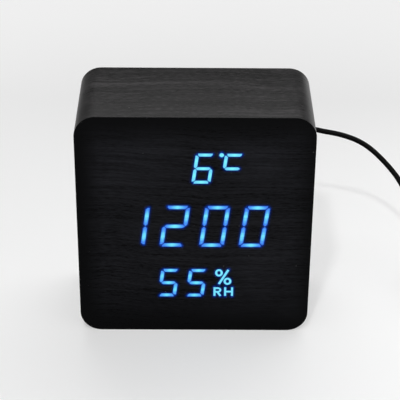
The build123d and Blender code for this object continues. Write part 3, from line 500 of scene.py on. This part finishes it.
time_lit = figures_lit("1200", (-24.9, -8.3, 8.3, 24.9), time_digit)
temperature_lit = figures_lit("6C", (3.3, 15.15), temperature_digit) + [dot_pairs(10.77, 87.0, 1.9)]
humidity_lit = figures_lit("55", (-10.95, 0.9), humidity_digit)
percent_lit = [
    ring_pairs(10.47, 29.85, 3.3, 3.75, 0.95), ring_pairs(14.15, 25.55, 3.35, 3.65, 0.95),
    line_pairs([(14.45, 31.4), (10.5, 24.15)], 1.0)]
letter_stroke = 0.88
letter_foot, letter_head = 18.05, 22.45
r_bowl = [
    (8.7, 22.01), (10.15, 22.01), (10.9, 21.75), (11.2, 21.1), (10.9, 20.4), (10.15, 20.11), (8.7, 20.11)]
letters_lit = [line_pairs(path, letter_stroke) for path in (
    [(8.7, letter_foot), (8.7, letter_head)], r_bowl, [(9.9, 20.11), (11.25, letter_foot)],
    [(13.25, letter_foot), (13.25, letter_head)], [(16.2, letter_foot), (16.2, letter_head)],
    [(13.25, 20.25), (16.2, 20.25)])]
bar_light("time_light", time_lit, shine("time_shine", (118, 236, 255), (58, 122, 240)))
bar_light(
    "temperature_light", temperature_lit, shine("temperature_shine", (128, 248, 255), (108, 210, 252)))
bar_light("humidity_light", humidity_lit, shine("humidity_shine", (112, 234, 255), (74, 152, 248)))
bar_light("unit_light", percent_lit + letters_lit, shine("unit_shine", (130, 238, 255), (118, 226, 255)))


def film_glow(lit):
    """Light that spreads in the film round the bars: a fine grid whose glow falls off with distance."""
    pitch, reach, fall = 0.4, 1.6, 0.26
    gaps = {}
    for pairs in lit:
        middles = [Vector(first).lerp(Vector(second), 0.5) for first, second in pairs]
        halves = [(Vector(first) - Vector(second)).length / 2 for first, second in pairs]
        narrow_halves = [min(both) for both in zip(halves, halves[1:])]
        for start, end, half in zip(middles, middles[1:], narrow_halves):
            margin = half + reach
            low = [floor_of((min(start[axis], end[axis]) - margin) / pitch) for axis in (0, 1)]
            high = [floor_of((max(start[axis], end[axis]) + margin) / pitch) + 1 for axis in (0, 1)]
            run = end - start
            for column in range(low[0], high[0] + 1):
                for line in range(low[1], high[1] + 1):
                    place = Vector((column * pitch, line * pitch))
                    share = min(max((place - start).dot(run) / max(run.dot(run), 1e-9), 0), 1)
                    gap = (place - start - run * share).length - half
                    gaps[column, line] = min(gap, gaps.get((column, line), reach))
    spots = [spot for spot, gap in gaps.items() if gap < reach]
    number = {spot: place for place, spot in enumerate(spots)}
    depth = (film_face - glow_rise) * mm
    points = [(column * pitch * mm, depth, line * pitch * mm) for column, line in spots]
    glow = [exp(-max(gaps[spot], 0) / fall) for spot in spots]
    corners = [((c, r), (c + 1, r), (c + 1, r + 1), (c, r + 1)) for c, r in spots]
    faces = [[number[spot] for spot in four] for four in corners if all(spot in number for spot in four)]
    haze = lit_film("film_glow", 0.003)
    haze.set(emission_color=linear(0, 50, 150), alpha=haze.corner_shade("glow"))
    return plate("film_glow", points, faces, haze, "clock", "diffuser_sheet", glow=glow)


film_glow(time_lit + temperature_lit + humidity_lit + percent_lit + letters_lit)

# Moulded marks over the keys, in millimetres: an arrow down, a ring and an arrow up
mark_gap, mark_root, mark_rise, mark_inner_share = 2.6, -0.05, 0.12, 0.6
ring_radius, ring_steps = 1.3, 24
arrow_down = [(-1.5, 0.87), (0, -1.73), (1.5, 0.87)]
arrow_up = [(-u, -v) for u, v in arrow_down]
ring_turns = [2 * pi * step / ring_steps for step in range(ring_steps)]
ring_outline = [(ring_radius * cos(turn), ring_radius * sin(turn)) for turn in ring_turns]


def key_mark(name, key, outline):
    """A raised line mark, printed pale, with its outline given as points round its middle."""
    low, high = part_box(key)
    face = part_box("rear_panel")[1].y
    middle = (low.x + high.x) / 2
    loops = [(1, mark_root), (1, mark_rise), (mark_inner_share, mark_rise), (mark_inner_share, mark_root)]
    points = [(middle + u * share * mm, face + rise * mm, high.z + (mark_gap + v * share) * mm)
              for share, rise in loops for u, v in outline]
    count = len(outline)
    faces = []
    for loop in range(len(loops)):
        here, beyond = loop * count, (loop + 1) % len(loops) * count
        faces += [(here + step, beyond + step, beyond + (step + 1) % count, here + (step + 1) % count)
                  for step in range(count)]
    return plate(name, points, faces, mark_grey, "clock", "panel_plastic")


key_mark("down_mark", "down_button", arrow_down)
key_mark("set_mark", "set_button", ring_outline)
key_mark("up_mark", "up_button", arrow_up)

# Camera at the photograph's viewing angle
yaw, pitch, roll = radians(0.4265), radians(30.7718), radians(0.5135)
camera_place = Vector((-1.721, -540.524, 373.977)) * mm
focal_pixels, picture_pixels, sensor_width = 1460.96, 400, 36
forward = Vector((sin(yaw) * cos(pitch), cos(yaw) * cos(pitch), -sin(pitch)))
level_right = Vector((cos(yaw), -sin(yaw), 0))
level_up = level_right.cross(forward)
right = level_right * cos(roll) + level_up * sin(roll)
up = level_up * cos(roll) - level_right * sin(roll)
camera = bpy.data.objects.new("camera", bpy.data.cameras.new("camera"))
camera.matrix_world = Matrix((right, up, -forward)).transposed().to_4x4()
camera.location = camera_place
camera.data.sensor_fit = "HORIZONTAL"
camera.data.sensor_width = sensor_width
camera.data.lens = focal_pixels / picture_pixels * sensor_width
camera.data.clip_start = 0.01
bpy.context.scene.collection.objects.link(camera)
bpy.context.scene.camera = camera

# Cord, in millimetres: out of the plug, down to the table and into its coil
cord_diameter = 2.5
cord_route = [
    (28.0, 43.8, 59.0), (28.0, 53.0, 59.0), (33.5, 62.0, 57.8), (44.0, 66.4, 55.4), (57.4, 65.4, 51.6),
    (69.4, 62.8, 50.8), (79.8, 58.6, 48.2), (88.8, 51.0, 42.5), (95.6, 41.2, 37.1), (100.0, 31.2, 28.7),
    (102.4, 22.0, 17.4), (103.0, 13.7, 10.0), (103.0, 4.5, 10.0),
]
coil_x, coil_y, coil_top = 118.825, 2.0, 10.0
coil_inner, turn_pitch = 9.2, 2.65
quarters_per_layer, coil_layers, coil_quarters = 10, 4, 42
points_per_quarter = 3
for step in range(coil_quarters * points_per_quarter + 1):
    quarter = step / points_per_quarter
    layer = min(int(quarter // quarters_per_layer), coil_layers - 1)
    within = quarter - layer * quarters_per_layer
    steps_out = quarters_per_layer - within if layer % 2 == 0 else within
    radius = (coil_inner + steps_out * turn_pitch / 4) / cos(pi / 4 / points_per_quarter)
    change = round(quarter / quarters_per_layer)
    past = quarter - change * quarters_per_layer
    drop = layer
    if 0 < change < coil_layers and abs(past) < 1:
        drop = change - 1 + (1 + sin(past * pi / 2)) / 2
    angle = pi + quarter * pi / 2
    cord_route.append(
        (coil_x + radius * cos(angle), coil_y + radius * sin(angle), coil_top - drop * turn_pitch))
tail_x = 135.975
cord_route += [(tail_x, 4.5, 2.05), (tail_x, 11.5, 2.05), (tail_x, 18.5, 4.0), (tail_x, 25.5, 4.0)]

cord_line = bpy.data.curves.new("power_cord", "CURVE")
cord_line.dimensions = "3D"
spline = cord_line.splines.new("NURBS")
spline.points.add(len(cord_route) - 1)
for point, place in zip(spline.points, cord_route):
    point.co = (*[length * mm for length in place], 1)
spline.order_u = 3
spline.use_endpoint_u = True
spline.resolution_u = 8
cord_line.bevel_depth = cord_diameter / 2 * mm
cord_line.bevel_resolution = 4
cord_line.use_fill_caps = True
cord = bpy.data.objects.new("power_cord", cord_line)
bpy.context.scene.collection.objects.link(cord)
jacket_black.on(cord)
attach(cord, "cord")
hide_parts("cord_lead", "cord_coil", "cord_tail")


# Strap that ties the coil
def webbing():
    """Black woven webbing: ribs across the strap, crossed by finer threads along it."""
    rib_pitch, thread_pitch, rib_share = 0.45, 0.4 * mm, 0.6
    weave_depth, strength = 0.08 * mm, 0.7
    cloth = Finish("strap_webbing", roughness=0.8, specular_ior_level=0.15)
    ribs = abs((cloth.corner_shade("run") * (pi / rib_pitch)).wave())
    threads = abs((cloth.axis("X") * (pi / thread_pitch)).wave())
    fuzz = cloth.noise((3500, 3500, 3500))
    shade = ribs * rib_share + fuzz * (1 - rib_share)
    cloth.set(base_color=cloth.mix(shade, grey(0.006), grey(0.022)))
    cloth.bump(ribs * rib_share + threads * (1 - rib_share), weave_depth, strength)
    return cloth


def coil_strap():
    """A strap once round the coil's turns and over its own start, with a free end that stands off."""
    low_y, high_y, low_z, high_z, corner = -16.05, -5.6, 0.5, 11.55, 1.25
    corner_steps, corner_turn = 7, 15
    half_width, half_thick, edge_round, edge_half = 2.0, 0.22, 0.15, 0.1
    start = [(y, high_z) for y in (-8.8, -10.2, -11.6, -13.0, -14.2)]
    overlap = [
        (-7.1, 11.85), (-7.9, 12.08), (-9.0, 12.1), (-10.4, 12.1), (-11.8, 12.12), (-12.8, 12.25),
        (-13.5, 12.5)]
    corners = [(low_y + corner, high_z - corner, 90), (low_y + corner, low_z + corner, 180),
               (high_y - corner, low_z + corner, 270), (high_y - corner, high_z - corner, 0)]
    bends = [(y + corner * cos(turn), z + corner * sin(turn)) for y, z, first in corners
             for turn in (radians(first + corner_turn * step) for step in range(corner_steps))]
    line = start + bends + overlap
    flat = half_width - edge_round
    edge = [(-half_width, -edge_half), (-flat, -half_thick), (flat, -half_thick), (half_width, -edge_half),
            (half_width, edge_half), (flat, half_thick), (-flat, half_thick), (-half_width, edge_half)]
    points, faces, run = [], [], []
    length = 0
    for place, (y, z) in enumerate(line):
        before, after = line[max(place - 1, 0)], line[min(place + 1, len(line) - 1)]
        step = hypot(after[0] - before[0], after[1] - before[1])
        out_y, out_z = (after[1] - before[1]) / step, (before[0] - after[0]) / step
        length += hypot(y - before[0], z - before[1])
        for wide, thick in edge:
            points.append(((coil_x + wide) * mm, (y + out_y * thick) * mm, (z + out_z * thick) * mm))
            run.append(length)
    count = len(edge)
    for ring in range(len(line) - 1):
        for side in range(count):
            a, b = ring * count + side, ring * count + (side + 1) % count
            faces.append((a, b, b + count, a + count))
    faces += [tuple(range(count))[::-1], tuple(range(len(points) - count, len(points)))]
    return plate("coil_strap", points, faces, webbing(), "cord", "tie_black", run=run)


strap = coil_strap()
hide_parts("coil_tie")


# Table and light, in metres
card_y = 0.15
# The first two ranges are where the table's painted shade round the clock's foot gives way to paler table.
near_fade, far_fade, lamps_fade = (0.1, 0.36), (0.3, 0.9), (0.6, 1.6)
left_fade, ahead_fade, beside_fade = (-0.4, 0.05), (0.08, 0.35), (0.12, 0.4)
left_least, lamps_dimming = 0.1, 0.78


def table_pale():
    """A pale table that takes shadows, with a paleness of its own for the camera and for mirrors.

    That paleness is darkened round the clock as painted shade: least near its foot, more further out.
    The camera sees less of it where the lamps light the table most, in front and on the right, and
    mirrors show less of it on the left.
    """
    near, middle, far = grey(0.395), grey(0.54), grey(0.74)
    table = Finish(
        "table_pale", base_color=grey(0.52), roughness=0.6, specular_ior_level=0.2, emission_strength=1.0)
    across, back = table.axis("X"), table.axis("Y")
    away = table.vector("DISTANCE", table.place, (0, 0, 0), "Value")
    # Painted shade round the clock: the table's own paleness is least near its foot and rises further out.
    paleness = table.mix(away.between(*near_fade), near, middle)
    paleness = table.mix(away.between(*far_fade), paleness, far)
    mirrored = table.ray("Glossy") * (left_least + (1 - left_least) * across.between(*left_fade))
    ahead = (0 - back).between(*ahead_fade)
    beside = across.between(*beside_fade) * (card_y - back).between(0, card_y)
    under_lamps = (ahead + beside - ahead * beside) * (1 - away.between(*lamps_fade))
    seen = table.ray("Camera") * (1 - lamps_dimming * under_lamps)
    table.set(emission_color=table.mix(seen + mirrored, grey(0), paleness))
    return table


floor_reach = 3
floor_corners = [(x * floor_reach, y * floor_reach, 0) for x, y in ((-1, -1), (1, -1), (1, 1), (-1, 1))]
floor_mesh = bpy.data.meshes.new("table")
floor_mesh.from_pydata(floor_corners, [], [(0, 1, 2, 3)])
floor = bpy.data.objects.new("table", floor_mesh)
bpy.context.scene.collection.objects.link(floor)
table_pale().on(floor)


def lamp(name, place, aim, width, height, power):
    """A soft flat lamp that the camera doesn't see. Sizes are in metres, and its power in watts."""
    light = bpy.data.lights.new(name, "AREA")
    light.shape = "RECTANGLE"
    light.size = width
    light.size_y = height
    light.energy = power
    piece = bpy.data.objects.new(name, light)
    piece.location = place
    piece.rotation_euler = (Vector(aim) - Vector(place)).to_track_quat("-Z", "Y").to_euler()
    piece.visible_camera = False
    bpy.context.scene.collection.objects.link(piece)


foot = (0, 0, 0)
lamp("key", place=(-0.55, -0.75, 1.2), aim=foot, width=1.3, height=1.3, power=2.5)
lamp("overhead", place=(-0.14, -0.66, 1.06), aim=foot, width=0.07, height=0.07, power=4.4)
lamp("fill", place=(0.8, -0.7, 0.9), aim=foot, width=1.0, height=1.0, power=1.5)
lamp("back", place=(0, 0.9, 1.1), aim=(0, 0.5, 0), width=1.6, height=0.6, power=1.6)
lamp(
    "card_behind", place=(0.65, card_y, 0.35), aim=(0.65, -0.35, 0.28), width=1.6, height=0.3, power=3.8)

# Sky: dim as a lamp, a little brighter in mirrors and pale to the camera
sky_lit, sky_mirrored, sky_seen = 0.3, 0.432, 0.9
world = bpy.data.worlds.new("studio")
world.use_nodes = True
sky = NodeTree(world.node_tree, "Background")
in_mirrors = sky.ray("Glossy") * (sky_mirrored - sky_lit)
to_camera = sky.ray("Camera") * (sky_seen - sky_lit)
sky.set(color=grey(1.0), strength=sky_lit + in_mirrors + to_camera)
bpy.context.scene.world = world
bpy.context.scene.view_settings.view_transform = "Standard"
